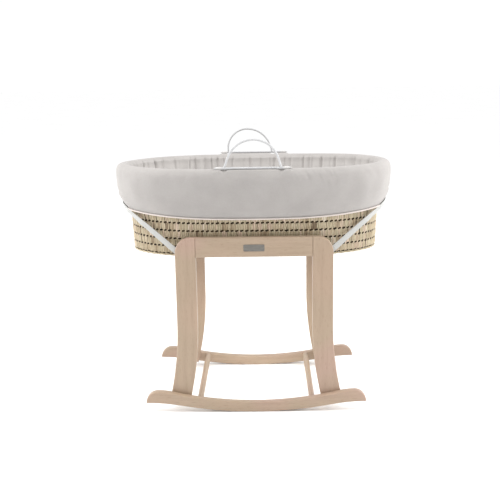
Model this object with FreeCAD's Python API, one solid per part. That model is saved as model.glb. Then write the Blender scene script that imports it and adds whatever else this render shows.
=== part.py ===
import FreeCAD, Part
import math
import os

# Moses basket on a rocking stand, in millimetres.
# X runs along the basket, Y across it (the front frame is at -Y), Z is up.
# The origin is on the floor, midway between the rockers' lowest lines.

V = FreeCAD.Vector
X_AXIS = V(1, 0, 0)
Y_AXIS = V(0, 1, 0)
Z_AXIS = V(0, 0, 1)

# ---- Stand: two bent frames on rockers ----
BOARD = 22.0                 # thickness of every board of the stand
STAND_DEPTH = 430.0          # outer face to outer face of the two rockers
ROCKER_HALF = 330.0
ROCKER_RADIUS = 1250.0       # the curve that rolls on the floor
ROCKER_CURVE_HALF = 225.0    # the curve ends here, and the tips flatten out as stops
ROCKER_HEIGHT_MIDDLE = 31.0
ROCKER_TOP_RADIUS = 1095.0
ROCKER_TOP_HALF = 250.0      # the top edge's curve ends here and levels out
ROCKER_NOSE_RADIUS = 34.0    # quarter round at each tip
LEG_WIDTH = 61.0
LEG_CENTRE_X = 201.0
LEG_STRAIGHT_TO_Z = 265.0    # below this height the leg bends outwards
LEG_BEND_RADIUS = 990.0
LEG_LIFT = 3.0               # leg ends above the rocker's lower edge
FRAME_TOP_Z = 531.0
RAIL_HEIGHT = 59.0
FRAME_CORNER_RADIUS = 46.0
EDGE_ROUND = 3.5
ROD_RADIUS = 9.0
ROD_X = 168.0
ROD_Z = 35.0
SPIGOT_RADIUS = 6.0
SPIGOT_LENGTH = 12.0
DOWEL_RADIUS = 4.0
DOWEL_LENGTH = 48.0
DOWEL_SPACING = 29.0         # two dowels in each joint, one above the other
BOLT_RADIUS = 3.0
BOLT_HEAD_RADIUS = 6.0
BOLT_HEAD_HEIGHT = 3.5
BOLT_REACH = 34.0
SOCKET_RADIUS = 2.2          # for the key, in the bolt's head
SOCKET_DEPTH = 2.0
INSERT_RADIUS = 5.0
INSERT_LENGTH = 13.0
HOLE_GAP = 0.15              # radial room around each dowel, spigot, bolt and screw
PLATE_LENGTH = 61.0
PLATE_HEIGHT = 20.0
PLATE_THICKNESS = 1.2
PLATE_BELOW_MIDDLE = 2.0     # the plate sits just below the rail's middle line
PLATE_CORNER_RADIUS = 2.5
PIN_RADIUS = 1.0
PIN_LENGTH = 9.0
PIN_INSET = 4.0              # from the plate's ends
PIN_HEAD_RADIUS = 1.9
PIN_HEAD_HEIGHT = 0.7

# ---- Webbing ----
STRAP_WIDTH = 17.0
STRAP_THICKNESS = 1.6
STRAP_GAP = 2.2              # from the basket, so that the basket lifts off freely
STRAP_LOW_Z = 489.0          # where the strap leaves the leg
STRAP_END_Z = 607.0          # where it crosses the basket's end
STRAP_RUN = 262.0            # from the leg's edge round to the middle of the end
STRAP_FREE_RUN = 105.0       # the first stretch, before the strap touches the basket
STRAP_TOUCH_ANGLE = math.radians(42)
STRAP_ANCHOR_X = 210.0
STRAP_TAIL = 17.0            # webbing beyond the screw
STRAP_SKIRT_FROM_Z = 540.0   # its upper edge starts to swing out round the skirt here
STRAP_SKIRT_TO_Z = 575.0
SLING_X = 105.0
SLING_WIDTH = 40.0
SLING_THICKNESS = 2.0
SLING_TOP_Z = 518.0
SLING_LEAVES_RAIL_Z = 484.0
SLING_FLAT_HALF = 151.0      # half of the stretch that lies flat under the base
SLING_SCREW_STEP = 22.0      # between the two screws at each end
SLING_SCREW_DROP = 12.0      # from the sling's upper end
SCREW_RADIUS = 2.0
SCREW_HEAD_RADIUS = 4.5
SCREW_HEAD_HEIGHT = 2.4
SCREW_LENGTH = 16.0
WASHER_RADIUS = 6.5
WASHER_THICKNESS = 1.0

# ---- Basket: an oval with straight sides and half-ellipse ends ----
SIDE_HALF = 120.0            # half length of the straight side
BASE_Z = 466.0
BASE_THICKNESS = 10.0
WALL_THICKNESS = 9.0
WALL_TOP_Z = 714.0
RIM_TOP_Z = 728.0
RIM_OUTWARD = 2.0            # the rim's braid is thicker than the wall
RIM_INWARD = 3.0
LINER_TOP_Z = 733.0
HEM_Z = 583.0                # hem of the liner's skirt at mid-length
HEM_RADIUS = 4270.0          # the hem rises towards the ends along this arc
PIPING_WIDTH = 4.0
LINING_THICKNESS = 6.0
TOUCH_GAP = 0.3              # between layers of the basket
MATTRESS_THICKNESS = 36.0
MATTRESS_GAP = 2.5
COVER_THICKNESS = 1.5

# (height, half length, half width) of the woven wall, base to top
WALL_OUTLINE = [
    (BASE_Z, 372.0, 151.0),
    (BASE_Z + 12, 376.0, 153.5),
    (HEM_Z, 380.0, 178.0),
    (WALL_TOP_Z, 396.0, 207.5),
]
# the same for the padded skirt that hangs over the rim
SKIRT_OUTLINE = [
    (HEM_Z - 6, 391.0, 188.5),
    (609.0, 401.0, 198.0),
    (640.0, 415.5, 212.0),
    (671.0, 418.5, 222.0),
    (702.0, 420.0, 230.0),
    (718.0, 416.0, 226.0),
    (LINER_TOP_Z, 402.0, 212.0),
]

# ---- Carrying handles ----
HANDLE_RADIUS = 3.3
HANDLE_Y = 216.0
HANDLE_Z = 735.0
HANDLE_HALF_BAR = 106.0      # the straight bar that lies along the rim
LOOP_GAP = 0.3
LOOP_RADIUS = 6.4
LOOP_INNER_X = 88.0
LOOP_LENGTH = 18.0
CHANNEL_HALF = 112.0         # the slot in the liner where the handle lies
CHANNEL_FLOOR_Z = 728.2
CHANNEL_HALF_WIDTH = 7.5

# each standing handle: x of its left and right base, x and z of its peak, crown radius left and right
FRONT_HANDLE_SHAPE = (-81.0, 81.0, 2.0, 815.0, 77.0, 74.0)
REAR_HANDLE_SHAPE = (-84.0, 61.0, -22.0, 812.0, 63.0, 79.0)

FACE_Y = STAND_DEPTH / 2     # outer face of the rocker
LEG_FACE_Y = FACE_Y - BOARD  # outer face of legs and rail
INNER_FACE_Y = LEG_FACE_Y - BOARD


# ---- Helpers ----

def export(name, shape):
    shape.exportStep(os.path.join("parts", name + ".step"))


def group(shapes):
    return Part.makeCompound(shapes)


def box(low, high):
    size = V(*high) - V(*low)
    return Part.makeBox(size.x, size.y, size.z, V(*low))


def rod_along_y(x, y, z, radius, length):
    return Part.makeCylinder(radius, length, V(x, y, z), Y_AXIS)


def rear(shape):
    """The same piece on the rear frame."""
    return shape.mirror(V(0, 0, 0), Y_AXIS)


def right(shape):
    """The same piece at the other end of the object."""
    return shape.mirror(V(0, 0, 0), X_AXIS)


def arc(start, middle, end):
    return Part.Arc(V(*start), V(*middle), V(*end)).toShape()


def line(start, end):
    return Part.LineSegment(V(*start), V(*end)).toShape()


def board(edges, y_outer, thickness):
    """A board cut to an outline that lies in the plane y = -y_outer, with softened edges."""
    plate = Part.Face(Part.Wire(edges)).extrude(V(0, thickness, 0))
    faces_y = (-y_outer, -y_outer + thickness)
    long_edges = [e for e in plate.Edges
                  if any(all(abs(v.Y - y) < 1e-6 for v in e.Vertexes) for y in faces_y)]
    return plate.makeFillet(EDGE_ROUND, long_edges)


# ---- Stand ----

def levelled(radius, curve_half, end_half, base_z):
    """Three points of the short arc that levels out a long arc between curve_half and end_half."""
    turn = math.asin(curve_half / radius)
    start_z = base_z + radius * (1 - math.cos(turn))
    short_radius = (end_half - curve_half) / math.sin(turn)
    points = []
    for angle in (turn, turn / 2, 0.0):
        x = curve_half + short_radius * (math.sin(turn) - math.sin(angle))
        z = start_z + short_radius * (math.cos(angle) - math.cos(turn))
        points.append((x, -FACE_Y, z))
    return points


def mirrored(point):
    return (-point[0], point[1], point[2])


def rocker_blank():
    nose_x = ROCKER_HALF - ROCKER_NOSE_RADIUS
    low = levelled(ROCKER_RADIUS, ROCKER_CURVE_HALF, ROCKER_HALF, 0)
    high = levelled(ROCKER_TOP_RADIUS, ROCKER_TOP_HALF, nose_x, ROCKER_HEIGHT_MIDDLE)
    nose_z = high[2][2] - ROCKER_NOSE_RADIUS
    slant = ROCKER_NOSE_RADIUS * math.sqrt(0.5)
    nose_middle = (nose_x + slant, -FACE_Y, nose_z + slant)
    nose_low = (ROCKER_HALF, -FACE_Y, nose_z)
    edges = []
    for side in (lambda point: point, mirrored):
        edges.append(arc(*[side(p) for p in low]))
        edges.append(line(side(low[2]), side(nose_low)))
        edges.append(arc(side(nose_low), side(nose_middle), side(high[2])))
        edges.append(arc(*[side(p) for p in high]))
    edges.append(arc(mirrored(low[0]), (0, -FACE_Y, 0), low[0]))
    edges.append(arc(mirrored(high[0]), (0, -FACE_Y, ROCKER_HEIGHT_MIDDLE), high[0]))
    return board(Part.__sortEdges__(edges), FACE_Y, BOARD)


def bolt_places():
    """x and z of the two bolts at the foot of the right-hand leg."""
    return [(216.0, 37.0), (243.0, 43.0)]


def front_rocker():
    rocker = rocker_blank()
    for side in (-1, 1):
        for x, z in bolt_places():
            hole = rod_along_y(side * x, -LEG_FACE_Y - INSERT_LENGTH - 2, z,
                               INSERT_RADIUS + HOLE_GAP, INSERT_LENGTH + 2)
            rocker = rocker.cut(hole)
        hole = rod_along_y(side * ROD_X, -LEG_FACE_Y - SPIGOT_LENGTH - 1, ROD_Z,
                           SPIGOT_RADIUS + HOLE_GAP, SPIGOT_LENGTH + 1)
        rocker = rocker.cut(hole)
    return rocker


def leg_edge(offset, angle):
    """A point on a line parallel to the leg's centre line, at an angle round its bend."""
    radius = LEG_BEND_RADIUS - offset
    centre_x = LEG_CENTRE_X + LEG_BEND_RADIUS
    return (centre_x - radius * math.cos(angle), -LEG_FACE_Y,
            LEG_STRAIGHT_TO_Z - radius * math.sin(angle))


def front_right_leg():
    half = LEG_WIDTH / 2
    y = -LEG_FACE_Y
    inner_x = LEG_CENTRE_X - half
    outer_x = LEG_CENTRE_X + half
    corner = FRAME_CORNER_RADIUS
    low_angle = math.asin((LEG_STRAIGHT_TO_Z + 5) / LEG_BEND_RADIUS)
    quarter = corner * (1 - math.sqrt(0.5))
    edges = [
        line((inner_x, y, FRAME_TOP_Z), (outer_x - corner, y, FRAME_TOP_Z)),
        arc((outer_x - corner, y, FRAME_TOP_Z), (outer_x - quarter, y, FRAME_TOP_Z - quarter),
            (outer_x, y, FRAME_TOP_Z - corner)),
        line((outer_x, y, FRAME_TOP_Z - corner), leg_edge(half, 0)),
        arc(leg_edge(half, 0), leg_edge(half, low_angle / 2), leg_edge(half, low_angle)),
        line(leg_edge(half, low_angle), leg_edge(-half, low_angle)),
        arc(leg_edge(-half, low_angle), leg_edge(-half, low_angle / 2), leg_edge(-half, 0)),
        line(leg_edge(-half, 0), (inner_x, y, FRAME_TOP_Z)),
    ]
    leg = board(edges, LEG_FACE_Y, BOARD)
    foot_radius = ROCKER_RADIUS - LEG_LIFT
    foot = Part.makeCylinder(foot_radius, 3 * BOARD, V(0, -LEG_FACE_Y - BOARD, ROCKER_RADIUS), Y_AXIS)
    leg = leg.common(foot)
    for x, z in bolt_places():
        leg = leg.cut(rod_along_y(x, -LEG_FACE_Y - 1, z, BOLT_RADIUS + HOLE_GAP, BOARD + 2))
    for z in dowel_heights():
        leg = leg.cut(dowel_hole(z))
    screw = strap_screw_place()
    return leg.cut(rod_along_y(-screw[0], -INNER_FACE_Y - SCREW_LENGTH, screw[1],
                               SCREW_RADIUS + HOLE_GAP, SCREW_LENGTH))


def dowel_heights():
    middle = FRAME_TOP_Z - RAIL_HEIGHT / 2
    return (middle - DOWEL_SPACING / 2, middle + DOWEL_SPACING / 2)


def dowel_hole(z):
    joint_x = LEG_CENTRE_X - LEG_WIDTH / 2
    length = DOWEL_LENGTH + 2
    return Part.makeCylinder(DOWEL_RADIUS + HOLE_GAP, length,
                             V(joint_x - length / 2, -LEG_FACE_Y + BOARD / 2, z), X_AXIS)


def rail_dowels():
    joint_x = LEG_CENTRE_X - LEG_WIDTH / 2
    dowels = []
    for z in dowel_heights():
        dowel = Part.makeCylinder(DOWEL_RADIUS, DOWEL_LENGTH,
                                  V(joint_x - DOWEL_LENGTH / 2, -LEG_FACE_Y + BOARD / 2, z), X_AXIS)
        dowels += [dowel, right(dowel), rear(dowel), right(rear(dowel))]
    return group(dowels)


def rail():
    end = LEG_CENTRE_X - LEG_WIDTH / 2
    y = -LEG_FACE_Y
    low = FRAME_TOP_Z - RAIL_HEIGHT
    corners = [(-end, y, low), (end, y, low), (end, y, FRAME_TOP_Z), (-end, y, FRAME_TOP_Z)]
    blank = Part.Face(Part.makePolygon([V(*c) for c in corners + corners[:1]])).extrude(V(0, BOARD, 0))
    along = [e for e in blank.Edges if abs(e.Vertexes[0].X - e.Vertexes[1].X) > end]
    beam = blank.makeFillet(EDGE_ROUND, along)
    for z in dowel_heights():
        beam = beam.cut(dowel_hole(z)).cut(right(dowel_hole(z)))
    for x, z in sling_screw_places():
        beam = beam.cut(rod_along_y(x, -INNER_FACE_Y - SCREW_LENGTH, z,
                                    SCREW_RADIUS + HOLE_GAP, SCREW_LENGTH))
    return beam


def front_top_rail():
    beam = rail()
    for x in plate_pin_places():
        beam = beam.cut(rod_along_y(x, -LEG_FACE_Y, plate_middle_z(),
                                    PIN_RADIUS + HOLE_GAP, PIN_LENGTH))
    return beam


def lower_rod(x):
    length = 2 * LEG_FACE_Y
    shaft = rod_along_y(x, -LEG_FACE_Y, ROD_Z, ROD_RADIUS, length)
    spigots = rod_along_y(x, -LEG_FACE_Y - SPIGOT_LENGTH, ROD_Z, SPIGOT_RADIUS,
                          length + 2 * SPIGOT_LENGTH)
    return shaft.fuse(spigots).removeSplitter()


def leg_bolts():
    bolts = []
    for x, z in bolt_places():
        shank = rod_along_y(x, -INNER_FACE_Y - BOLT_REACH, z, BOLT_RADIUS, BOLT_REACH)
        head = rod_along_y(x, -INNER_FACE_Y, z, BOLT_HEAD_RADIUS, BOLT_HEAD_HEIGHT)
        socket = rod_along_y(x, -INNER_FACE_Y + BOLT_HEAD_HEIGHT - SOCKET_DEPTH, z,
                             SOCKET_RADIUS, SOCKET_DEPTH)
        bolt = shank.fuse(head).cut(socket)
        bolts += [bolt, right(bolt), rear(bolt), right(rear(bolt))]
    return group(bolts)


def insert_nuts():
    nuts = []
    for x, z in bolt_places():
        y = -LEG_FACE_Y - INSERT_LENGTH
        nut = rod_along_y(x, y, z, INSERT_RADIUS, INSERT_LENGTH)
        nut = nut.cut(rod_along_y(x, y, z, BOLT_RADIUS + HOLE_GAP, INSERT_LENGTH))
        nuts += [nut, right(nut), rear(nut), right(rear(nut))]
    return group(nuts)


def plate_middle_z():
    return FRAME_TOP_Z - RAIL_HEIGHT / 2 - PLATE_BELOW_MIDDLE


def plate_pin_places():
    return (-PLATE_LENGTH / 2 + PIN_INSET, PLATE_LENGTH / 2 - PIN_INSET)


def blank_plate():
    y = -LEG_FACE_Y - PLATE_THICKNESS
    z = plate_middle_z()
    plate = box((-PLATE_LENGTH / 2, y, z - PLATE_HEIGHT / 2),
                (PLATE_LENGTH / 2, y + PLATE_THICKNESS, z + PLATE_HEIGHT / 2))
    corners = [e for e in plate.Edges if abs(e.Vertexes[0].Y - e.Vertexes[1].Y) > 1]
    plate = plate.makeFillet(PLATE_CORNER_RADIUS, corners)
    for x in plate_pin_places():
        plate = plate.cut(rod_along_y(x, y, z, PIN_RADIUS + HOLE_GAP, PLATE_THICKNESS))
    return plate


def plate_pins():
    pins = []
    for x in plate_pin_places():
        y = -LEG_FACE_Y - PLATE_THICKNESS
        shank = rod_along_y(x, y, plate_middle_z(), PIN_RADIUS, PIN_LENGTH)
        head = rod_along_y(x, y - PIN_HEAD_HEIGHT, plate_middle_z(), PIN_HEAD_RADIUS, PIN_HEAD_HEIGHT)
        pins.append(shank.fuse(head))
    return group(pins)


# ---- Webbing ----

def between(outline, z):
    """Half length and half width of an outline table at height z."""
    if z <= outline[0][0]:
        return outline[0][1:]
    for low, high in zip(outline, outline[1:]):
        if z <= high[0]:
            t = (z - low[0]) / (high[0] - low[0])
            return tuple(a + t * (b - a) for a, b in zip(low[1:], high[1:]))
    return outline[-1][1:]


def strap_reach(z):
    """Half length and half width that the strap has to go round when its middle is at z."""
    top = z + STRAP_WIDTH / 2 + 2
    ramp = (top - STRAP_SKIRT_FROM_Z) / (STRAP_SKIRT_TO_Z - STRAP_SKIRT_FROM_Z)
    ramp = min(max(ramp, 0.0), 1.0)
    wall = between(WALL_OUTLINE, min(top, HEM_Z))
    skirt = between(SKIRT_OUTLINE, top)
    bare = tuple(a + STRAP_GAP for a in wall)
    padded = tuple(a + STRAP_GAP + PIPING_WIDTH / 2 for a in skirt)
    return tuple(a + ramp * (b - a) for a, b in zip(bare, padded))


def strap_middle_line():
    """Points along the left strap from the front leg to the middle of the basket's end."""
    leg_y = -INNER_FACE_Y + STRAP_THICKNESS / 2
    leg_edge_x = LEG_CENTRE_X + LEG_WIDTH / 2
    rise = STRAP_END_Z - STRAP_LOW_Z
    first_slope = rise * math.pi / 2 / STRAP_RUN
    tail_x = STRAP_ANCHOR_X - STRAP_TAIL
    tail_z = STRAP_LOW_Z - first_slope * (leg_edge_x - tail_x)
    points = [V(-tail_x, leg_y, tail_z), V(-leg_edge_x, leg_y, STRAP_LOW_Z)]
    steps = 8
    for i in range(steps + 1):
        angle = STRAP_TOUCH_ANGLE * (1 - i / steps)
        along = STRAP_FREE_RUN + (STRAP_RUN - STRAP_FREE_RUN) * i / steps
        z = STRAP_LOW_Z + rise * math.sin(along / STRAP_RUN * math.pi / 2)
        half_length, half_width = strap_reach(z)
        x = -(SIDE_HALF + (half_length - SIDE_HALF) * math.cos(angle))
        points.append(V(x, -half_width * math.sin(angle), z))
    return points


def strap_screw_place():
    """x and z of the screw at the strap's end on the left-hand leg."""
    points = strap_middle_line()
    x = -STRAP_ANCHOR_X
    t = (x - points[0].x) / (points[1].x - points[0].x)
    return x, points[0].z + t * (points[1].z - points[0].z)


def flat_band(points, width, thickness, up):
    """A flat band whose middle line runs through points, standing on edge towards up."""
    sections = []
    for i, point in enumerate(points):
        before = points[max(i - 1, 0)]
        after = points[min(i + 1, len(points) - 1)]
        along = (after - before).normalize()
        outward = along.cross(up).normalize() * (thickness / 2)
        across = outward.cross(along).normalize() * (width / 2)
        corners = [point + outward + across, point - outward + across,
                   point - outward - across, point + outward - across]
        sections.append(Part.makePolygon(corners + corners[:1]))
    spans = [Part.makeLoft([a, b], True, True) for a, b in zip(sections, sections[1:])]
    return spans[0].multiFuse(spans[1:]).removeSplitter()


def left_end_strap():
    half = strap_middle_line()
    other_half = [V(p.x, -p.y, p.z) for p in reversed(half[:-1])]
    band = flat_band(half + other_half, STRAP_WIDTH, STRAP_THICKNESS, Z_AXIS)
    x, z = strap_screw_place()
    for y in (-INNER_FACE_Y - 2, INNER_FACE_Y - 6):
        band = band.cut(rod_along_y(x, y, z, SCREW_RADIUS + HOLE_GAP, 8))
    return band


def screw(x, z, inside_by):
    """A screw driven into the front frame's inner face through a layer inside_by thick."""
    y = -INNER_FACE_Y + inside_by
    shank = rod_along_y(x, y - SCREW_LENGTH + 1, z, SCREW_RADIUS, SCREW_LENGTH - 1)
    head = rod_along_y(x, y, z, SCREW_HEAD_RADIUS, SCREW_HEAD_HEIGHT)
    return shank.fuse(head)


def washer(x, z, inside_by):
    y = -INNER_FACE_Y + inside_by
    ring = rod_along_y(x, y, z, WASHER_RADIUS, WASHER_THICKNESS)
    return ring.cut(rod_along_y(x, y, z, SCREW_RADIUS + HOLE_GAP, WASHER_THICKNESS))


def four_corners(shape):
    return group([shape, right(shape), rear(shape), right(rear(shape))])


def strap_screws():
    x, z = strap_screw_place()
    return four_corners(screw(x, z, STRAP_THICKNESS + WASHER_THICKNESS))


def strap_washers():
    x, z = strap_screw_place()
    return four_corners(washer(x, z, STRAP_THICKNESS))


def left_sling():
    """Webbing from rail to rail under the basket's base."""
    inner = INNER_FACE_Y
    low = BASE_Z - 0.5
    t = SLING_THICKNESS
    flat = SLING_FLAT_HALF + 1
    bend_z = SLING_LEAVES_RAIL_Z
    outer_side = [(inner, SLING_TOP_Z), (inner, bend_z), (flat + 1, low - t),
                  (-flat - 1, low - t), (-inner, bend_z), (-inner, SLING_TOP_Z)]
    inner_side = [(-inner + t, SLING_TOP_Z), (-inner + t, bend_z + 1), (-flat, low),
                  (flat, low), (inner - t, bend_z + 1), (inner - t, SLING_TOP_Z)]
    x = -SLING_X - SLING_WIDTH / 2
    outline = [V(x, y, z) for y, z in outer_side + inner_side]
    band = Part.Face(Part.makePolygon(outline + outline[:1])).extrude(V(SLING_WIDTH, 0, 0))
    for hole_x, z in sling_screw_places():
        for y in (-inner - 1, inner - 4):
            band = band.cut(rod_along_y(hole_x, y, z, SCREW_RADIUS + HOLE_GAP, 5))
    return band


def sling_screw_places():
    z = SLING_TOP_Z - SLING_SCREW_DROP
    half_step = SLING_SCREW_STEP / 2
    return [(side * SLING_X + step, z) for side in (-1, 1) for step in (-half_step, half_step)]


def sling_screws():
    front = [screw(x, z, SLING_THICKNESS) for x, z in sling_screw_places()]
    return group(front + [rear(s) for s in front])


# ---- Basket ----

def outline_wire(half_length, half_width, z):
    """The basket's plan outline: two straight sides and two half-ellipse ends."""
    end_axis = half_length - SIDE_HALF
    centre_right = V(SIDE_HALF, 0, z)
    edges = []
    right_end = Part.Ellipse(centre_right, end_axis, half_width)
    edges.append(right_end.toShape(-math.pi / 2, math.pi / 2))
    edges.append(line((SIDE_HALF, half_width, z), (-SIDE_HALF, half_width, z)))
    left_end = Part.Ellipse(V(-SIDE_HALF, 0, z), end_axis, half_width)
    edges.append(left_end.toShape(math.pi / 2, 3 * math.pi / 2))
    edges.append(line((-SIDE_HALF, -half_width, z), (SIDE_HALF, -half_width, z)))
    return Part.Wire(edges)


def vessel(outline, grow=0.0):
    """A solid that fills an outline table, grown or shrunk sideways."""
    wires = [outline_wire(length + grow, width + grow, z) for z, length, width in outline]
    spans = [Part.makeLoft([a, b], True, True) for a, b in zip(wires, wires[1:])]
    return spans[0].multiFuse(spans[1:])


def cut_outline(outline, low, high):
    """The part of an outline table between two heights."""
    inside = [row for row in outline if low < row[0] < high]
    return [(low, *between(outline, low))] + inside + [(high, *between(outline, high))]


def resized(outline, grow):
    return [(z, length + grow, width + grow) for z, length, width in outline]


def basket_base():
    return vessel(cut_outline(WALL_OUTLINE, BASE_Z, BASE_Z + BASE_THICKNESS))


def basket_wall():
    outline = cut_outline(WALL_OUTLINE, BASE_Z + BASE_THICKNESS, WALL_TOP_Z)
    return vessel(outline).cut(vessel(outline, -WALL_THICKNESS))


def rim_outline():
    length, width = between(WALL_OUTLINE, WALL_TOP_Z)
    return [(z, length + RIM_OUTWARD, width + RIM_OUTWARD) for z in (WALL_TOP_Z, RIM_TOP_Z)]


def basket_rim():
    width = RIM_OUTWARD + WALL_THICKNESS + RIM_INWARD
    return vessel(rim_outline()).cut(vessel(rim_outline(), -width))


def lining_outline():
    """The lining's inner face, from the base to the top of the liner."""
    inward = WALL_THICKNESS + TOUCH_GAP + LINING_THICKNESS
    beside_wall = cut_outline(WALL_OUTLINE, BASE_Z + BASE_THICKNESS, WALL_TOP_Z)
    face = resized(beside_wall, -inward)
    return face + [(LINER_TOP_Z, face[-1][1] - RIM_INWARD, face[-1][2] - RIM_INWARD)]


def liner_lining():
    clear = WALL_THICKNESS + TOUCH_GAP
    beside_wall = cut_outline(WALL_OUTLINE, BASE_Z + BASE_THICKNESS, WALL_TOP_Z)
    back = resized(beside_wall, -clear)
    back[-1] = (WALL_TOP_Z, back[-1][1] - RIM_INWARD, back[-1][2] - RIM_INWARD)
    back.append((RIM_TOP_Z, back[-1][1], back[-1][2]))
    return vessel(back).cut(vessel(lining_outline()))


def hem_side(offset):
    """Everything above the hem's arc, moved up by offset."""
    reach = 450.0
    sag = HEM_RADIUS - math.sqrt(HEM_RADIUS ** 2 - reach ** 2)
    z = HEM_Z + offset
    y = -300.0
    edges = [
        arc((-reach, y, z + sag), (0, y, z), (reach, y, z + sag)),
        line((reach, y, z + sag), (reach, y, 900)),
        line((reach, y, 900), (-reach, y, 900)),
        line((-reach, y, 900), (-reach, y, z + sag)),
    ]
    return Part.Face(Part.Wire(edges)).extrude(V(0, -2 * y, 0))


def handle_channel():
    channel = box((-CHANNEL_HALF, -HANDLE_Y - CHANNEL_HALF_WIDTH, CHANNEL_FLOOR_Z),
                  (CHANNEL_HALF, -HANDLE_Y + CHANNEL_HALF_WIDTH, LINER_TOP_Z + 10))
    return group([channel, rear(channel)])


def liner_skirt():
    hollow = cut_outline(WALL_OUTLINE, SKIRT_OUTLINE[0][0], WALL_TOP_Z)
    hollow = [*resized(hollow, TOUCH_GAP), *resized(rim_outline()[1:], TOUCH_GAP)]
    hollow[-2] = resized(rim_outline()[:1], TOUCH_GAP)[0]
    skirt = vessel(SKIRT_OUTLINE).cut(vessel(hollow))
    mouth_low = lining_outline()[-1]
    mouth = vessel([(RIM_TOP_Z - 2, *mouth_low[1:]), (LINER_TOP_Z + 5, *mouth_low[1:])])
    return skirt.cut(mouth).common(hem_side(0)).cut(handle_channel())


def hem_piping():
    half = PIPING_WIDTH / 2
    band = [(HEM_Z - 6, *SKIRT_OUTLINE[0][1:]), *SKIRT_OUTLINE[1:3]]
    ring = vessel(resized(band, half)).cut(vessel(resized(band, -half)))
    return ring.common(hem_side(-PIPING_WIDTH)).cut(hem_side(0))


def mattress_outline(shrink):
    low = BASE_Z + BASE_THICKNESS
    length, width = lining_outline()[0][1:]
    rise = MATTRESS_THICKNESS
    inset = MATTRESS_GAP + shrink
    size = (length - inset, width - inset)
    return [(low + shrink, *size), (low + rise - shrink, *size)]


def mattress_core():
    return vessel(mattress_outline(COVER_THICKNESS))


def mattress_cover():
    return vessel(mattress_outline(0)).cut(vessel(mattress_outline(COVER_THICKNESS)))


# ---- Carrying handles ----

def tangent_point(base_x, peak, radius):
    """Where a straight run from the handle's base meets the arc of its crown."""
    centre = V(peak.x, 0, peak.z - radius)
    to_base = V(base_x, 0, HANDLE_Z) - centre
    away = math.acos(radius / to_base.Length)
    turn = -away if base_x < peak.x else away
    angle = math.atan2(to_base.z, to_base.x) + turn
    return V(centre.x + radius * math.cos(angle), 0, centre.z + radius * math.sin(angle))


def half_crown(base_x, peak, radius):
    """Edges from one base point up to the peak."""
    meet = tangent_point(base_x, peak, radius)
    centre = V(peak.x, 0, peak.z - radius)
    middle = ((meet - centre) + (peak - centre)).normalize() * radius + centre
    base = V(base_x, 0, HANDLE_Z)
    return [Part.LineSegment(base, meet).toShape(), Part.Arc(meet, middle, peak).toShape()]


def tube(edges):
    path = Part.Wire(Part.__sortEdges__(edges))
    start = path.OrderedVertexes[0].Point
    direction = path.OrderedEdges[0].tangentAt(path.OrderedEdges[0].FirstParameter)
    profile = Part.Wire(Part.Circle(start, direction, HANDLE_RADIUS).toShape())
    return path.makePipeShell([profile], True, True)


def handle(y, left_base, right_base, peak_x, peak_z, left_radius, right_radius):
    """A loop handle with a straight bar along the rim, on which it turns."""
    peak = V(peak_x, 0, peak_z)
    left_tube = tube(half_crown(left_base, peak, left_radius))
    right_tube = tube(half_crown(right_base, peak, right_radius))
    crown = group([left_tube, right_tube])
    crown.translate(V(0, y, 0))
    bar = Part.makeCylinder(HANDLE_RADIUS, 2 * HANDLE_HALF_BAR,
                            V(-HANDLE_HALF_BAR, y, HANDLE_Z), X_AXIS)
    return bar.multiFuse(crown.Solids).removeSplitter()


def handle_loops(y):
    """Two stitched loops that hold the ends of the bar."""
    loops = []
    for x in (LOOP_INNER_X, -LOOP_INNER_X - LOOP_LENGTH):
        ring = Part.makeCylinder(LOOP_RADIUS, LOOP_LENGTH, V(x, y, HANDLE_Z), X_AXIS)
        bore = Part.makeCylinder(HANDLE_RADIUS + LOOP_GAP, LOOP_LENGTH, V(x, y, HANDLE_Z), X_AXIS)
        loops.append(ring.cut(bore))
    return group(loops)


# ---- All parts ----

def stand_parts():
    rocker = front_rocker()
    leg = front_right_leg()
    strap = left_end_strap()
    sling = left_sling()
    return {
        "front_rocker": rocker,
        "rear_rocker": rear(rocker),
        "front_right_leg": leg,
        "front_left_leg": right(leg),
        "rear_right_leg": rear(leg),
        "rear_left_leg": right(rear(leg)),
        "front_top_rail": front_top_rail(),
        "rear_top_rail": rear(rail()),
        "lower_rod_left": lower_rod(-ROD_X),
        "lower_rod_right": lower_rod(ROD_X),
        "rail_dowels": rail_dowels(),
        "leg_bolts": leg_bolts(),
        "insert_nuts": insert_nuts(),
        "blank_plate": blank_plate(),
        "plate_pins": plate_pins(),
        "left_end_strap": strap,
        "right_end_strap": right(strap),
        "strap_screws": strap_screws(),
        "strap_washers": strap_washers(),
        "left_sling": sling,
        "right_sling": right(sling),
        "sling_screws": sling_screws(),
    }


def basket_parts():
    return {
        "basket_base": basket_base(),
        "basket_wall": basket_wall(),
        "basket_rim": basket_rim(),
        "liner_skirt": liner_skirt(),
        "liner_lining": liner_lining(),
        "hem_piping": hem_piping(),
        "mattress_core": mattress_core(),
        "mattress_cover": mattress_cover(),
        "front_handle": handle(-HANDLE_Y, *FRONT_HANDLE_SHAPE),
        "rear_handle": handle(HANDLE_Y, *REAR_HANDLE_SHAPE),
        "front_handle_loops": handle_loops(-HANDLE_Y),
        "rear_handle_loops": handle_loops(HANDLE_Y),
    }


os.makedirs("parts", exist_ok=True)
for node, solid in {**stand_parts(), **basket_parts()}.items():
    export(node, solid)
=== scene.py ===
import math

import bpy
import numpy as np
from mathutils import Matrix, Vector


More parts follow.
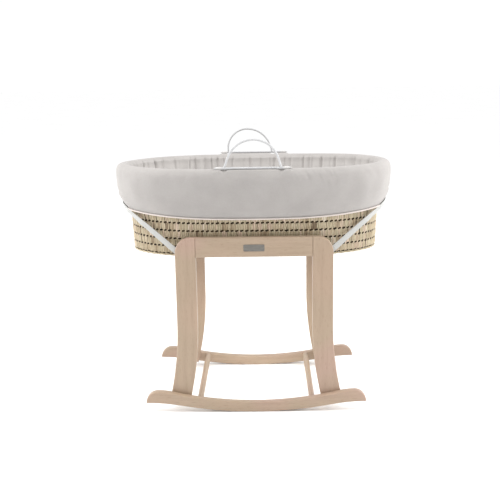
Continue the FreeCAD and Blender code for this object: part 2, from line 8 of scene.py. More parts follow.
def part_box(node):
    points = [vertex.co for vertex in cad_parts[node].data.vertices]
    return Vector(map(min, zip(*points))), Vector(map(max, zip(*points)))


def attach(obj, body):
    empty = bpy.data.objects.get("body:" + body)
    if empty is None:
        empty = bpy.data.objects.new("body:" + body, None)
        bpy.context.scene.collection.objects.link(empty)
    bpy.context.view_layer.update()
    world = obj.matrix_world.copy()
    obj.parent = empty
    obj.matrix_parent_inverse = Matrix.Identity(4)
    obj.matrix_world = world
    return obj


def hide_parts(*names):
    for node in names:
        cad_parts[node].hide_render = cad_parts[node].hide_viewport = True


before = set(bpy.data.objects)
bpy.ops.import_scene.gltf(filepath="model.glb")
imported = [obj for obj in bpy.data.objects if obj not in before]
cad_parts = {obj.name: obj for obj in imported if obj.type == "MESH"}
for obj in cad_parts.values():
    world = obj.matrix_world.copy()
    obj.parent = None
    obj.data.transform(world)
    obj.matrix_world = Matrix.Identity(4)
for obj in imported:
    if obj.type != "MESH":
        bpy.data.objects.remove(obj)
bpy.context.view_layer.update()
rng = np.random.default_rng(7)

# Sizes in metres. The basket's plan outline is an oval with straight sides and half-ellipse ends.
SIDE_HALF = 0.120
BASE_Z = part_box("basket_base")[0].z
WALL_TOP_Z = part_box("basket_wall")[1].z
RIM_TOP_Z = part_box("basket_rim")[1].z
LINER_TOP_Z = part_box("liner_skirt")[1].z
FLOOR_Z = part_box("mattress_cover")[0].z
HEM_Z = 0.583
HEM_RADIUS = 4.27
QUARTER_STEPS = 400          # steps in each of an oval's two ends and two sides

# (height, half length, half width) of the woven wall and of the liner's skirt
WALL_PROFILE = [
    (BASE_Z, 0.372, 0.151),
    (BASE_Z + 0.012, 0.376, 0.1535),
    (HEM_Z, 0.380, 0.178),
    (WALL_TOP_Z, 0.396, 0.2075),
]
SKIRT_PROFILE = [
    (HEM_Z - 0.006, 0.391, 0.1885),
    (0.609, 0.401, 0.198),
    (0.640, 0.4155, 0.212),
    (0.671, 0.4185, 0.222),
    (0.702, 0.420, 0.230),
    (0.718, 0.416, 0.226),
    (LINER_TOP_Z, 0.402, 0.212),
]


# ---- Small maths ----

def smooth(t):
    t = np.clip(t, 0.0, 1.0)
    return t * t * (3 - 2 * t)


def profile_at(profile, z):
    """Half length and half width of a profile at heights z."""
    heights, lengths, widths = np.array(profile).T
    return np.interp(z, heights, lengths), np.interp(z, heights, widths)


def distances_along(points):
    steps = np.linalg.norm(np.diff(points, axis=0), axis=1)
    return np.concatenate([[0.0], np.cumsum(steps)])


def read_at(places, line, values):
    """Values given at the points of a line, read off at distances along it."""
    distance = distances_along(line)
    return np.stack([np.interp(places, distance, column) for column in values.T], -1)


def rounded(line, values, count, passes):
    """Values of a line at evenly spaced places, with the corners rounded and the ends held."""
    values = read_at(np.linspace(0, distances_along(line)[-1], count), line, values)
    for _ in range(passes):
        values[1:-1] = (values[:-2] + 2 * values[1:-1] + values[2:]) / 4
    return values


def unit(vectors):
    return vectors / np.linalg.norm(vectors, axis=-1, keepdims=True)


def hem_height(x):
    """The hem's height at x: it rises towards the basket's ends."""
    return HEM_Z + HEM_RADIUS - np.sqrt(HEM_RADIUS ** 2 - x ** 2)


class Oval:
    """Places evenly spaced round the basket's outline, each a centre x and an angle."""

    def __init__(self, half_length, half_width):
        share = np.linspace(0, 1, QUARTER_STEPS, endpoint=False)
        held = np.ones(QUARTER_STEPS)
        right = (SIDE_HALF * held, -math.pi / 2 + math.pi * share)
        back = (SIDE_HALF * (1 - 2 * share), math.pi / 2 * held)
        left = (-SIDE_HALF * held, math.pi / 2 + math.pi * share)
        front = (-SIDE_HALF * (1 - 2 * share), 3 * math.pi / 2 * held)
        parts = (right, back, left, front)
        self.centres = np.concatenate([part[0] for part in parts] + [[SIDE_HALF]])
        self.angles = np.concatenate([part[1] for part in parts] + [[3 * math.pi / 2]])
        x, y = oval_point(self.centres, self.angles, half_length, half_width)
        self.distance = distances_along(np.stack([x, y], -1))
        self.length = self.distance[-1]

    def at(self, distance):
        wrapped = np.mod(distance, self.length)
        centre = np.interp(wrapped, self.distance, self.centres)
        return centre, np.interp(wrapped, self.distance, self.angles)

    def around(self, count):
        """Places evenly spaced all the way round."""
        return self.at(np.arange(count) / count * self.length)


def oval_point(centre, angle, half_length, half_width):
    return centre + (half_length - SIDE_HALF) * np.cos(angle), half_width * np.sin(angle)


def oval_normal(angle, half_length, half_width):
    """Outward direction in plan."""
    nx = np.cos(angle) / (half_length - SIDE_HALF)
    ny = np.sin(angle) / half_width
    size = np.hypot(nx, ny)
    return nx / size, ny / size


def oval_ring(places, half_length, half_width, z):
    """Points of an oval at height z, at the centres and angles in places."""
    x, y = oval_point(*places, half_length, half_width)
    return np.stack([x, y, np.broadcast_to(z, x.shape)], -1)


def waves(distance, period, wavelength, count):
    """A smooth random line round a closed length, within about -1 to 1."""
    total = np.zeros_like(distance)
    base = max(1, round(period / wavelength))
    for _ in range(count):
        turns = base + rng.integers(0, max(2, base // 2))
        phase = rng.uniform(0, 2 * math.pi)
        total = total + np.sin(2 * math.pi * turns * distance / period + phase)
    return total / math.sqrt(count)


# ---- Mesh making ----

def new_piece(name, verts, faces, material, shade_smooth=True):
    mesh = bpy.data.meshes.new(name)
    mesh.from_pydata([tuple(v) for v in verts], [], [tuple(f) for f in faces])
    mesh.update()
    piece = bpy.data.objects.new(name, mesh)
    bpy.context.scene.collection.objects.link(piece)
    mesh.materials.append(material)
    if shade_smooth:
        mesh.shade_smooth()
    return piece


def set_values(piece, **named):
    """Numbers at each vertex, which a material reads by name."""
    for name, values in named.items():
        layer = piece.data.attributes.new(name, "FLOAT", "POINT")
        layer.data.foreach_set("value", np.asarray(values, np.float32).ravel())


def vertex_array(piece):
    values = np.zeros(len(piece.data.vertices) * 3, np.float32)
    piece.data.vertices.foreach_get("co", values)
    return values.reshape(-1, 3).astype(float)


def apply_modifier(piece, modifier):
    bpy.context.view_layer.objects.active = piece
    bpy.ops.object.modifier_apply(modifier=modifier.name)


def move_vertices(piece, points):
    piece.data.vertices.foreach_set("co", points.astype(np.float32).ravel())
    piece.data.update()


def grid_faces(rows, columns, closed_rows=False, closed_columns=False, start=0):
    """Quads of a grid whose vertices run row by row."""
    r = np.arange(rows if closed_rows else rows - 1)
    c = np.arange(columns if closed_columns else columns - 1)
    rr, cc = np.meshgrid(r, c, indexing="ij")
    next_r = (rr + 1) % rows
    next_c = (cc + 1) % columns
    quads = np.stack([rr * columns + cc, rr * columns + next_c,
                      next_r * columns + next_c, next_r * columns + cc], axis=-1)
    return quads.reshape(-1, 4) + start


def joined(parts):
    """Vertices and faces of several meshes as one."""
    verts, faces, offset = [], [], 0
    for part_verts, part_faces in parts:
        verts.append(np.asarray(part_verts).reshape(-1, 3))
        faces.append(np.asarray(part_faces) + offset)
        offset += len(verts[-1])
    return np.concatenate(verts), np.concatenate(faces)


def tangents_along(points, closed=False):
    if closed:
        return unit(np.roll(points, -1, axis=0) - np.roll(points, 1, axis=0))
    return unit(np.gradient(points, axis=0))


def tube(points, radius_at, closed=False, around=12, side=None):
    """A tube whose radius may change along and round it: radius_at(distance, turn).

    side is the direction across it where the turn is 0, and is level unless it is given.
    """
    tangents = tangents_along(points, closed)
    if side is None:
        side = unit(np.cross(tangents, [0.0, 0.0, 1.0]))
    side = np.broadcast_to(side, points.shape)
    over = np.cross(side, tangents)
    turn = np.linspace(0, 2 * math.pi, around, endpoint=False)
    radius = radius_at(distances_along(points)[:, None], turn[None, :])
    radius = np.broadcast_to(radius, (len(points), around))
    verts = (points[:, None, :]
             + side[:, None, :] * (radius * np.cos(turn))[:, :, None]
             + over[:, None, :] * (radius * np.sin(turn))[:, :, None])
    faces = grid_faces(len(points), around, closed_rows=closed, closed_columns=True)
    return verts.reshape(-1, 3), faces


def ribbon(points, outwards, width, thickness, across_steps):
    """A flat band with rounded edges; outwards points away from what it lies on.

    It also gives each vertex's distance along the band, and across it from the middle.
    """
    tangents = tangents_along(points)
    across = unit(np.cross(outwards, tangents))
    out = np.cross(tangents, across)
    half = thickness / 2
    reach = width / 2 - half
    flat = np.linspace(-1, 1, across_steps + 1) * reach
    level = np.full(len(flat), half)
    turn = np.linspace(-math.pi / 2, math.pi / 2, 5)[1:-1]
    edge = reach + half * np.cos(turn)
    sideways = np.concatenate([flat, edge, flat[::-1], -edge])
    raised = np.concatenate([-level, half * np.sin(turn), level, -half * np.sin(turn)])
    verts = (points[:, None, :]
             + across[:, None, :] * sideways[:, None]
             + out[:, None, :] * raised[:, None])
    faces = grid_faces(len(points), len(sideways), closed_columns=True)
    along = np.repeat(distances_along(points), len(sideways))
    return verts.reshape(-1, 3), faces, along, np.tile(sideways, len(points))


# ---- Materials ----

TAPE_RIB = 0.0011
TAPE_ROW = 0.0022


class Shader:
    """A material's node tree with short helpers."""

    def __init__(self, name, roughness=0.6):
        self.material = bpy.data.materials.new(name)
        self.material.use_nodes = True
        self.nodes = self.material.node_tree.nodes
        self.links = self.material.node_tree.links
        self.bsdf = self.nodes["Principled BSDF"]
        self.set("Roughness", roughness)

    def set(self, socket, value):
        self.bsdf.inputs[socket].default_value = value

    def node(self, kind, **settings):
        made = self.nodes.new(kind)
        for key, value in settings.items():
            setattr(made, key, value)
        return made

    def link(self, output, target):
        self.links.new(output, target)

    def coordinates(self, scale=(1, 1, 1)):
        """Object coordinates, which match the frame, stretched by scale."""
        source = self.node("ShaderNodeTexCoord")
        mapping = self.node("ShaderNodeMapping")
        mapping.inputs["Scale"].default_value = scale
        self.link(source.outputs["Object"], mapping.inputs["Vector"])
        return mapping.outputs["Vector"]

    def noise(self, vector, scale, detail=3.0, roughness=0.5):
        made = self.node("ShaderNodeTexNoise")
        made.inputs["Scale"].default_value = scale
        made.inputs["Detail"].default_value = detail
        made.inputs["Roughness"].default_value = roughness
        self.link(vector, made.inputs["Vector"])
        return made.outputs["Fac"]

    def value(self, name):
        return self.node("ShaderNodeAttribute", attribute_name=name).outputs["Fac"]

    def math(self, operation, a, b=0.0):
        made = self.node("ShaderNodeMath", operation=operation)
        for socket, item in zip(made.inputs, (a, b)):
            if isinstance(item, (int, float)):
                socket.default_value = item
            else:
                self.link(item, socket)
        return made.outputs[0]

    def ramp(self, fac, stops):
        made = self.node("ShaderNodeValToRGB")
        elements = made.color_ramp.elements
        while len(elements) < len(stops):
            elements.new(0.5)
        for element, (position, colour) in zip(elements, stops):
            element.position = position
            element.color = (*colour, 1.0)
        self.link(fac, made.inputs["Fac"])
        return made.outputs["Color"]

    def mix(self, fac, a, b, blend="MIX"):
        made = self.node("ShaderNodeMix", data_type="RGBA", blend_type=blend)
        for index, item in ((0, fac), (6, a), (7, b)):
            socket = made.inputs[index]
            if isinstance(item, (int, float)):
                socket.default_value = item
            elif isinstance(item, tuple):
                socket.default_value = (*item, 1.0)
            else:
                self.link(item, socket)
        return made.outputs[2]

    def bump(self, height, strength, distance):
        made = self.node("ShaderNodeBump")
        made.inputs["Strength"].default_value = strength
        made.inputs["Distance"].default_value = distance
        self.link(height, made.inputs["Height"])
        self.link(made.outputs["Normal"], self.bsdf.inputs["Normal"])

    def colour(self, output):
        self.link(output, self.bsdf.inputs["Base Color"])


def srgb(r, g, b):
    """A colour given on the 0 to 255 scale, as the linear values that shaders use."""
    def linear(c):
        c /= 255
        return c / 12.92 if c <= 0.04045 else ((c + 0.055) / 1.055) ** 2.4
    return (linear(r), linear(g), linear(b))


def beech(name, grain_axis):
    """Pale steamed beech, with the grain along one axis of the frame."""
    shader = Shader(name, 0.42)

    def drawn_out(across, along):
        scale = [across, across, across]
        scale[grain_axis] = along
        return shader.coordinates(scale)
    patches = shader.noise(shader.coordinates((3.5, 3.5, 3.5)), 1.0, 2.0)
    grain = shader.noise(drawn_out(14.0, 1.1), 6.0, 6.0, 0.62)
    fleck = shader.noise(drawn_out(420.0, 60.0), 1.0, 2.0)
    base = shader.ramp(patches, [
        (0.30, srgb(159, 136, 116)),
        (0.52, srgb(155, 136, 115)),
        (0.72, srgb(163, 135, 121)),
    ])
    lines = shader.ramp(grain, [(0.32, (0.80, 0.78, 0.75)), (0.55, (1.0, 1.0, 1.0))])
    tinted = shader.mix(0.55, base, lines, "MULTIPLY")
    dots = shader.ramp(fleck, [(0.30, (0.66, 0.58, 0.52)), (0.42, (1.0, 1.0, 1.0))])
    shader.colour(shader.mix(0.45, tinted, dots, "MULTIPLY"))
    shader.set("Coat Weight", 0.12)
    shader.set("Coat Roughness", 0.35)
    shader.bump(grain, 0.12, 0.0006)
    return shader.material


def palm_leaf():
    """Dried palm strips: each one its own shade of straw, with fine ribs along it, and painted
    shade in the grooves between folds and strands and at the strips' edges.
    """
    shader = Shader("palm_leaf", 0.55)
    shades = shader.ramp(shader.value("tone"), [
        (0.00, srgb(126, 108, 84)),
        (0.20, srgb(164, 147, 120)),
        (0.40, srgb(185, 171, 145)),
        (0.58, srgb(177, 166, 139)),
        (0.78, srgb(196, 174, 154)),
        (1.00, srgb(210, 200, 180)),
    ])
    ribs = shader.noise(shader.coordinates((260.0, 260.0, 26.0)), 1.0, 3.0)
    rib_shade = shader.ramp(ribs, [(0.30, (0.70, 0.66, 0.58)), (0.60, (1.0, 1.0, 1.0))])
    # Painted shade: where the groove value is low, in the valleys between folds and strands and at
    # the strips' edges, the straw is darkened to dark brown.
    groove_shade = shader.ramp(shader.value("groove"), [
        (0.00, srgb(96, 76, 48)),
        (0.50, (1.0, 1.0, 1.0)),
    ])
    ribbed = shader.mix(0.7, shades, rib_shade, "MULTIPLY")
    shader.colour(shader.mix(0.85, ribbed, groove_shade, "MULTIPLY"))
    shader.bump(ribs, 0.35, 0.0006)
    return shader.material


def speckled(name, roughness, scale, detail, shades, strength, distance):
    """A shader of fine noise, which colours the surface and roughens it."""
    shader = Shader(name, roughness)
    noise = shader.noise(shader.coordinates(scale), 1.0, detail)
    shader.colour(shader.ramp(noise, shades))
    shader.bump(noise, strength, distance)
    return shader


def dark_core():
    """What shows in the holes between the strips: painted shade, a dark brown that stands for the
    shade inside them.
    """
    shades = [(0.35, srgb(40, 30, 18)), (0.70, srgb(78, 60, 38))]
    return speckled("core_painted_shade", 0.85, (90.0, 90.0, 90.0), 3.0, shades, 0.4, 0.001).material


def cloth(name, shade, weave_scale=1500.0, sheen=0.25, mottle=0.05, lining=None):
    """Plain-woven cotton: two crossed sets of fine threads and a faint mottle.

    lining is the colour where the piece's lining value is 1.
    """
    shader = Shader(name, 0.86)
    dim = tuple(c * (1 - mottle) for c in shade)
    patch = shader.noise(shader.coordinates((14.0, 14.0, 14.0)), 1.0, 4.0)
    base = shader.ramp(patch, [(0.35, dim), (0.65, shade)])
    if lining:
        base = shader.mix(shader.value("lining"), base, lining)
    drawn_out = weave_scale / 7
    warp = shader.noise(shader.coordinates((weave_scale, weave_scale, drawn_out)), 1.0, 1.0)
    weft = shader.noise(shader.coordinates((drawn_out, drawn_out, weave_scale)), 1.0, 1.0)
    threads = shader.math("MULTIPLY", shader.math("ADD", warp, weft), 0.5)
    shading = shader.ramp(threads, [(0.38, (0.88, 0.88, 0.88)), (0.58, (1.0, 1.0, 1.0))])
    shader.colour(shader.mix(0.6, base, shading, "MULTIPLY"))
    shader.set("Sheen Weight", sheen)
    shader.set("Sheen Roughness", 0.5)
    shader.bump(threads, 0.30, 0.0005)
    return shader.material


def webbing(name, shade):
    """Flat tape, with a rib across it every 1.1 mm and a row of threads every 2.2 mm."""
    shader = Shader(name, 0.62)
    ribs = shader.math("MULTIPLY", shader.value("along"), 2 * math.pi / TAPE_RIB)
    rows = shader.math("MULTIPLY", shader.value("across"), 2 * math.pi / TAPE_ROW)
    threads = shader.math("MULTIPLY", shader.math("SINE", ribs), shader.math("SINE", rows))
    level = shader.math("ADD", shader.math("MULTIPLY", threads, 0.5), 0.5)
    dim = tuple(c * 0.84 for c in shade)
    shader.colour(shader.ramp(level, [(0.1, dim), (0.8, shade)]))
    shader.set("Sheen Weight", 0.15)
    shader.bump(level, 0.5, 0.0004)
    return shader.material


def cord_white():
    shades = [(0.3, srgb(161, 161, 162)), (0.7, srgb(194, 194, 195))]
    shader = speckled("cord_white", 0.55, (900.0, 900.0, 900.0), 2.0, shades, 0.3, 0.0003)
    shader.set("Sheen Weight", 0.2)
    return shader.material


def steel():
    shades = [(0.3, srgb(150, 150, 152)), (0.7, srgb(190, 190, 192))]
    shader = speckled("zinc_steel", 0.34, (300.0, 300.0, 300.0), 3.0, shades, 0.08, 0.0003)
    shader.set("Metallic", 1.0)
    return shader.material


def plate_metal():
    """Brushed grey metal, blank."""
    shades = [(0.3, srgb(90, 88, 84)), (0.7, srgb(134, 131, 126))]
    shader = speckled("plate_metal", 0.42, (60.0, 900.0, 2600.0), 2.0, shades, 0.25, 0.0002)
    shader.set("Metallic", 0.85)
    return shader.material


# ---- Woven basket ----

ROW_HEIGHT = 0.0245          # from one line of holes to the next
FIRST_ROW_Z = BASE_Z + 0.0060
STITCH_PITCH = 0.0145        # from one hole to the next along a row, measured at PITCH_Z
PITCH_Z = 0.53
STITCH_BULGE = 0.0022
NECK = 0.29                  # a strip's width between two holes, as a share of the pitch
HOLE_HALF = 0.0029           # half height of a hole
HOLE_SLANT = 0.0006          # each strip is set a little askew, which slants the holes
SHOULDERS = (0, 0.45, 0.70, 0.86, 1.0, 1.14, 1.7)   # a strip's rows near a hole, in half holes
MIDDLE_ROWS = (0.30, 0.43, 0.57, 0.70)              # and away from one, as shares of its height
HOLE_TIP = 0.70              # a strip starts to widen here, in half holes
HOLE_SHOULDER = 0.44         # and is at its full width this much further
FULL_WIDTH = 1.05            # a strip's full width, as a share of the pitch
TUCK_RISE = 0.0004           # a gathered strip's height over the row's own surface
EDGE_DROP = 0.0006
BLADES = 3                   # folds of leaf side by side in each strip
BLADE_RISE = 0.00075
ACROSS = np.linspace(-1, 1, 19)
ROW_LEAN = 0.15              # the most that one row of holes is shifted on the last, in pitches
BASE_EDGE_INSET = 0.0015
BASE_MIDDLE = 0.012          # the base's rows end this near its middle line
BASE_SEAM = 0.002            # left open along the base's middle line
CORE_INSET = 0.0062
CORE_COLUMNS = 240
ROPE_STEP = 0.0032
ROPE_AROUND = 20


def crossing_places(count, pitch):
    """Where the strips cross a line of holes: evenly spaced, a little uneven."""
    return (np.arange(count) + rng.uniform(-0.07, 0.07, count)) * pitch


def each(values):
    """One value for each strip of a row."""
    return values[:, None, None]


def stitches(pitch, low_places, high_places, height, place):
    """A row of palm strips between two lines of holes, with every vertex's tone and groove; the
    groove value is painted shade.

    place(distance, up) gives a point and its outward direction.
    """
    count = len(low_places)
    hole = HOLE_HALF / height
    shoulder = np.array(SHOULDERS) * hole
    v = np.concatenate([shoulder, MIDDLE_ROWS, 1 - shoulder[::-1]])[None, :, None]
    u = ACROSS[None, None, :]
    fat = each(rng.uniform(0.70, 1.20, count))
    tone = each(rng.normal(0, 1, count))
    sway = each(rng.normal(0, 0.045, count)) * pitch
    twist = each(rng.normal(0, 0.0006, count))
    uneven = each(rng.uniform(0.4, 1.3, count))

    opened = smooth((np.minimum(v, 1 - v) / hole - HOLE_TIP) / HOLE_SHOULDER)
    half = pitch / 2 * (NECK + (FULL_WIDTH - NECK) * opened)
    middle = each(low_places) * (1 - v) + each(high_places) * v
    distance = middle + u * half + sway * np.sin(math.pi * v)
    up = np.broadcast_to(v - HOLE_SLANT / height * u, distance.shape)

    blades = np.cos(math.pi * (u * BLADES + BLADES - 1))
    bulge = STITCH_BULGE * fat * np.sin(math.pi * np.clip(v, 0.02, 0.98)) ** 0.35
    relief = BLADE_RISE * blades * uneven - EDGE_DROP * np.abs(u) ** 3 + twist * u
    rise = (bulge + relief) * opened + TUCK_RISE * (1 - opened)
    point, out = place(distance, up)
    verts = point + out * rise[..., None]

    rows = v.shape[1]
    strip_size = rows * len(ACROSS)
    faces = np.concatenate([grid_faces(rows, len(ACROSS), start=i * strip_size)
                            for i in range(count)])
    blade_of = np.clip(((ACROSS + 1) / 2 * BLADES).astype(int), 0, BLADES - 1)
    shade = 0.5 + 0.17 * tone + rng.normal(0, 0.11, (count, 1, BLADES))[:, :, blade_of]
    # groove is painted shade: it falls towards 0 in the valleys between blades and at the strips'
    # edges, where the material darkens the straw.
    edge = smooth((1 - np.abs(u)) / 0.16)
    groove = np.clip((blades + 1) * 0.8, 0, 1) * edge * opened + 0.85 * (1 - opened)
    shade = np.clip(np.broadcast_to(shade, distance.shape), 0, 1)
    groove = np.broadcast_to(groove, distance.shape)
    return verts.reshape(-1, 3), faces, shade.ravel(), groove.ravel()


def wall_row(oval, low_z, high_z, low_places, high_places):
    def place(distance, up):
        z = low_z + (high_z - low_z) * up
        half_length, half_width = profile_at(WALL_PROFILE, z)
        places = oval.at(distance)
        inset = STITCH_BULGE + TUCK_RISE
        nx, ny = oval_normal(places[1], half_length, half_width)
        point = oval_ring(places, half_length - inset, half_width - inset, z)
        return point, np.stack([nx, ny, np.zeros_like(nx)], -1)
    pitch = oval.length / len(low_places)
    return stitches(pitch, low_places, high_places, high_z - low_z, place)


def base_row(oval, outer_inset, height, count):
    half_length, half_width = WALL_PROFILE[0][1:]

    def place(distance, up):
        inset = outer_inset + height * up
        z = BASE_Z + STITCH_BULGE + EDGE_DROP
        point = oval_ring(oval.at(distance), half_length - inset, half_width - inset, z)
        return point, np.array([0.0, 0.0, -1.0])
    pitch = oval.length / count
    places = crossing_places(count, pitch)
    return stitches(pitch, places, places, height, place)


def woven_piece(name, rows, material):
    verts, faces = joined([row[:2] for row in rows])
    piece = new_piece(name, verts, faces, material)
    # tone is each strip's own colour, which differs at random; groove is painted shade.
    set_values(piece, tone=np.concatenate([row[2] for row in rows]),
               groove=np.concatenate([row[3] for row in rows]))
    return piece


def woven_wall(leaf):
    oval = Oval(*profile_at(WALL_PROFILE, PITCH_Z))
    count = round(oval.length / STITCH_PITCH)
    pitch = oval.length / count
    lines = [FIRST_ROW_Z]
    while lines[-1] + ROW_HEIGHT < WALL_TOP_Z:
        lines.append(lines[-1] + ROW_HEIGHT)
    lean = 0.0
    places = crossing_places(count, pitch)
    rows = []
    for low_z, high_z in zip(lines, lines[1:]):
        next_places = crossing_places(count, pitch) + lean
        rows.append(wall_row(oval, low_z, high_z, places, next_places))
        places = next_places
        lean += rng.uniform(-ROW_LEAN, ROW_LEAN) * pitch
    piece = woven_piece("woven_wall", rows, leaf)
    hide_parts("basket_wall")
    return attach(piece, "basket")


def woven_base(leaf):
    rows = []
    inset = BASE_EDGE_INSET
    half_length, half_width = WALL_PROFILE[0][1:]
    while inset < half_width - BASE_MIDDLE:
        height = min(ROW_HEIGHT, half_width - inset - BASE_SEAM)
        middle = inset + height / 2
        oval = Oval(half_length - middle, half_width - middle)
        rows.append(base_row(oval, inset, height, round(oval.length / STITCH_PITCH)))
        inset += ROW_HEIGHT
    piece = woven_piece("woven_base", rows, leaf)
    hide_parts("basket_base")
    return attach(piece, "basket")


def woven_core(material):
    """The inner layer behind the strips, closed below by the base; its dark colour is painted shade
    for the holes.
    """
    places = Oval(*profile_at(WALL_PROFILE, HEM_Z)).around(CORE_COLUMNS)
    rings = []
    for z in (BASE_Z + 0.0045, BASE_Z + 0.014, 0.52, HEM_Z, 0.65, WALL_TOP_Z):
        half_length, half_width = profile_at(WALL_PROFILE, z)
        rings.append(oval_ring(places, half_length - CORE_INSET, half_width - CORE_INSET, z))
    rings = [rings[0] * [share, share, 1.0] for share in (0.02, 0.33, 0.66)] + rings
    faces = grid_faces(len(rings), CORE_COLUMNS, closed_columns=True)
    piece = new_piece("woven_core", np.concatenate(rings), faces, material)
    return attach(piece, "basket")


def rope_ring(name, half_length, half_width, z, radius, strands, twist, material):
    """A palm coil round the basket; each strand goes once round it in the length twist."""
    oval = Oval(half_length, half_width)
    count = round(oval.length / ROPE_STEP)
    turns = round(oval.length / twist)

    def ridges(share, turn):
        return np.cos(strands * turn + 2 * math.pi * turns * share)

    def radius_at(distance, turn):
        return radius * (0.84 + 0.16 * ridges(distance / oval.length, turn))
    line = oval_ring(oval.around(count), half_length, half_width, z)
    verts, faces = tube(line, radius_at, closed=True, around=ROPE_AROUND)
    piece = new_piece(name, verts, faces, material)
    turn = np.tile(np.linspace(0, 2 * math.pi, ROPE_AROUND, endpoint=False), count)
    share = np.repeat(np.arange(count) / count, ROPE_AROUND)
    # groove is painted shade, low in the valleys between the strands; tone differs at random along
    # the coil.
    set_values(piece, tone=np.clip(0.5 + 0.25 * waves(share, 1.0, 0.02, 4), 0, 1),
               groove=np.clip((ridges(share, turn) + 1) * 0.9, 0, 1))
    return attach(piece, "basket")


# ---- Liner ----

LINER_COLUMNS = 720
LIFT_TOP_Z = 0.690           # the hem's rise towards the ends fades out here
RIM_SETTLED = 0.0022         # how far the rim has settled, and how much more at the rear
REAR_SAG = 0.0030
HANDLE_Y = 0.216
HANDLE_Z = 0.735
# Each handle's loop: its left and right foot x, its peak x and z, and its radius on either side.
FRONT_LOOP = (-0.081, 0.081, 0.002, 0.815, 0.077, 0.074)
REAR_LOOP = (-0.084, 0.061, -0.022, 0.812, 0.063, 0.079)
# The rim has a soft lip on each side of a handle's bar, which dips where the cord comes up.
BAR_REACH = 0.116
LIP_OFFSET = 0.0076
LIP_WIDTH = 0.0034
LIP_MOST = 0.008
FRONT_LIP = 0.0010           # the lips' height over the bar's middle
REAR_LIP = -0.0022
DIP_WIDTH = 0.0060
GROOVE_HALF = 0.0062
GROOVE_EDGE = 0.0030
GROOVE_DEPTH = 0.0022
PIPING_RADIUS = 0.0023
PIPING_OFF = 0.0008          # outside the skirt's profile, and over the hem's line
PIPING_STITCH = 0.0035


def liner_outline():
    """The liner's cross-section: behind the hem, up the skirt, over the rim and down inside."""
    def inside(z, inward=0.0153):
        half_length, half_width = profile_at(WALL_PROFILE, z)
        return (z, half_length - inward, half_width - inward)
    hem_length, hem_width = SKIRT_PROFILE[0][1:]
    behind = [(HEM_Z + 0.018, hem_length - 0.005, hem_width - 0.005),
              (HEM_Z + 0.004, hem_length - 0.0068, hem_width - 0.0068),
              (HEM_Z, hem_length - 0.003, hem_width - 0.003),
              (HEM_Z + 0.0025, hem_length + 0.0005, hem_width + 0.0005)]
    skirt = [(0.597, 0.3965, 0.1935), (0.609, 0.4015, 0.1985), (0.622, 0.408, 0.205),
             (0.640, 0.4145, 0.212), (0.656, 0.418, 0.2175), (0.675, 0.4195, 0.2235),
             (0.692, 0.4204, 0.2275), (0.706, 0.4204, 0.2290), (0.718, 0.4190, 0.2270),
             (0.7275, 0.4150, 0.2220)]
    roll = [(0.7332, 0.4060, 0.2140), (0.7345, 0.3960, 0.2050), (0.7325, 0.3865, 0.1970),
            (0.7260, 0.3805, 0.1918)]
    lining = [inside(z) for z in (0.712, 0.69, 0.66, 0.62, 0.58, 0.54, 0.51, 0.49)]
    foot = [inside(FLOOR_Z + 0.004, 0.0175), inside(FLOOR_Z + 0.001, 0.0250)]
    return np.array(behind + skirt + roll + lining + foot)


def refine(rows, times):
    """Points added along a line of rows by a smooth four-point rule."""
    for _ in range(times):
        padded = np.concatenate([rows[:1], rows, rows[-1:]])
        between = (-padded[:-3] + 9 * padded[1:-2] + 9 * padded[2:-1] - padded[3:]) / 16
        finer = np.empty((len(rows) * 2 - 1, rows.shape[1]))
        finer[0::2] = rows
        finer[1::2] = between
        rows = finer
    return rows


def gather_depth(distance, period, z, spots):
    """How deep the cloth's folds are at a place: narrow lines that fade out below the rim."""
    total = np.zeros(np.broadcast(distance, z).shape)
    for where, depth, width, lean, reach in spots:
        shifted = distance - where - lean * (LINER_TOP_Z - z)
        wrapped = np.mod(shifted + period / 2, period) - period / 2
        fade = smooth((z - (LINER_TOP_Z - reach)) / (reach * 0.6))
        total += depth * fade * np.exp(-(wrapped / width) ** 2)
    return total


def nearest(x, places):
    """How far each x is from the nearest of some places."""
    return np.min([np.abs(x - place) for place in places], axis=0)


def fold_spots(period, count, depth, width, lean, reach):
    """Where the folds are, and each one's depth, width, lean and reach down from the rim."""
    spots = []
    for i in range(count):
        where = (i + rng.uniform(-0.42, 0.42)) / count * period
        spots.append((where, rng.uniform(*depth), rng.uniform(*width),
                      rng.normal(0, lean), rng.uniform(*reach)))
    return spots


def lift_hem(centre, angle, z, half_length, half_width, outside):
    """The skirt's rise towards the basket's ends, and its size at the height that it rises to."""
    x, _ = oval_point(centre, angle, half_length, half_width)
    lift = (hem_height(x) - HEM_Z) * smooth((LIFT_TOP_Z - z) / (LIFT_TOP_Z - HEM_Z)) * outside
    before = profile_at(SKIRT_PROFILE, z)
    after = profile_at(SKIRT_PROFILE, z + lift)
    half_length = half_length + (after[0] - before[0]) * outside
    half_width = half_width + (after[1] - before[1]) * outside
    return lift, half_length, half_width


def skirt_folds(distance, period, z, over_hem):
    """How far the skirt stands out: slow swells, less small creases and a crumpled stretch."""
    slow = waves(distance, period, 0.30, 4)
    quick = waves(distance, period, 0.09, 5)
    tall = smooth((z - 0.60) / 0.06) * smooth((0.728 - z) / 0.03)
    swells = smooth((over_hem - 0.004) / 0.05) * (0.0014 * slow + 0.0007 * quick * tall)
    small = fold_spots(period, 46, (0.0004, 0.0013), (0.004, 0.010), 0.35, (0.03, 0.085))
    crumpled = [(-0.010 + 0.0125 * i + rng.uniform(-0.003, 0.003), rng.uniform(0.0011, 0.0022),
                 rng.uniform(0.0022, 0.0034), rng.uniform(0.35, 0.75), rng.uniform(0.040, 0.070))
                for i in range(10)]
    return swells - gather_depth(distance, period, z, small + crumpled)


